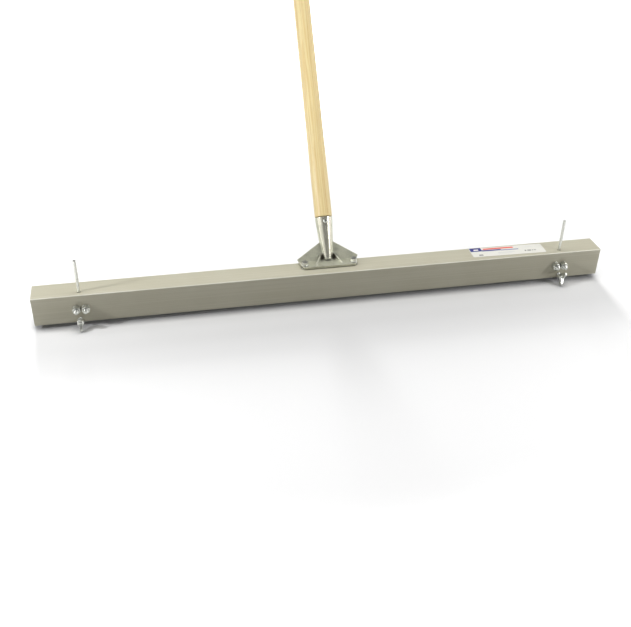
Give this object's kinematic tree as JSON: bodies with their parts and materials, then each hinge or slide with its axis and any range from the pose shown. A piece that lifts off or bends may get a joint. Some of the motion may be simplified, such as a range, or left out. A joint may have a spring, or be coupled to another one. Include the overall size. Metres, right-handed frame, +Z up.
{
  "type": "gauge screed",
  "caption": "Hand-pulled gauge screed: rectangular aluminium box bar with sliding depth pins locked by wing screws, and a cast bracket holding a wooden handle that leans back.",
  "frame": {"origin": "centre of the box bar's bottom face", "axes": "+X along the bar to its right-hand end, +Y back towards the side the handle leans to, +Z up"},
  "size_m": [0.9144, 0.9602, 1.3155],
  "materials": {
    "bar_aluminium": "satin extruded aluminium, warm grey",
    "cast_aluminium": "rough cast, ground bright along the socket",
    "machined_aluminium": "machined",
    "zinc_plated_steel": "bright zinc plate",
    "brass": "machined brass",
    "varnished_wood": "clear varnish over pale straight-grained wood",
    "grey_plastic": "moulded plastic",
    "label_vinyl": "printed vinyl film with plain coloured fields"
  },
  "bodies": {
    "screed": {"bar_tube": "bar_aluminium", "end_plug_left": "grey_plastic", "end_plug_right": "grey_plastic", "label": "label_vinyl", "handle_bracket": "cast_aluminium", "handle": "varnished_wood", "handle_screw": "zinc_plated_steel", "bracket_bolt_left": "zinc_plated_steel", "rivet_nut_left": "zinc_plated_steel", "guide_block_left": "machined_aluminium", "block_bolt_left_inner": "zinc_plated_steel", "lock_washer_left_inner": "zinc_plated_steel", "hex_nut_left_inner": "zinc_plated_steel", "block_bolt_left_outer": "zinc_plated_steel", "lock_washer_left_outer": "zinc_plated_steel", "hex_nut_left_outer": "zinc_plated_steel", "bracket_bolt_right": "zinc_plated_steel", "rivet_nut_right": "zinc_plated_steel", "guide_block_right": "machined_aluminium", "block_bolt_right_inner": "zinc_plated_steel", "lock_washer_right_inner": "zinc_plated_steel", "hex_nut_right_inner": "zinc_plated_steel", "block_bolt_right_outer": "zinc_plated_steel", "lock_washer_right_outer": "zinc_plated_steel", "hex_nut_right_outer": "zinc_plated_steel"},
    "pin_left": {"depth_pin_left": "zinc_plated_steel"},
    "pad_left": {"pressure_pad_left": "brass"},
    "wing_left": {"wing_screw_left": "zinc_plated_steel"},
    "pin_right": {"depth_pin_right": "zinc_plated_steel"},
    "pad_right": {"pressure_pad_right": "brass"},
    "wing_right": {"wing_screw_right": "zinc_plated_steel"}
  },
  "joints": [
    {"name": "pin_left_slide", "type": "slide", "parent": "screed", "child": "pin_left", "axis": [0, 0, -1], "range_m": [-0.00635, 0.044]},
    {"name": "pad_left_slide", "type": "slide", "parent": "screed", "child": "pad_left", "axis": [0, -1, 0], "range_m": [0, 0.0016]},
    {"name": "wing_left_turn", "type": "hinge", "parent": "pad_left", "child": "wing_left", "pos_m": [-0.3891, -0.03, 0.007], "axis": [0, -1, 0], "range_deg": [0, 540]},
    {"name": "pin_right_slide", "type": "slide", "parent": "screed", "child": "pin_right", "axis": [0, 0, -1], "range_m": [-0.00635, 0.044]},
    {"name": "pad_right_slide", "type": "slide", "parent": "screed", "child": "pad_right", "axis": [0, -1, 0], "range_m": [0, 0.0016]},
    {"name": "wing_right_turn", "type": "hinge", "parent": "pad_right", "child": "wing_right", "pos_m": [0.3891, -0.03, 0.007], "axis": [0, -1, 0], "range_deg": [0, 540]}
  ],
  "couplings": [
    {"joint": "pad_left_slide", "follows": "wing_left_turn", "m_per_rad": 0.00016844},
    {"joint": "pad_right_slide", "follows": "wing_right_turn", "m_per_rad": 0.00016844}
  ]
}
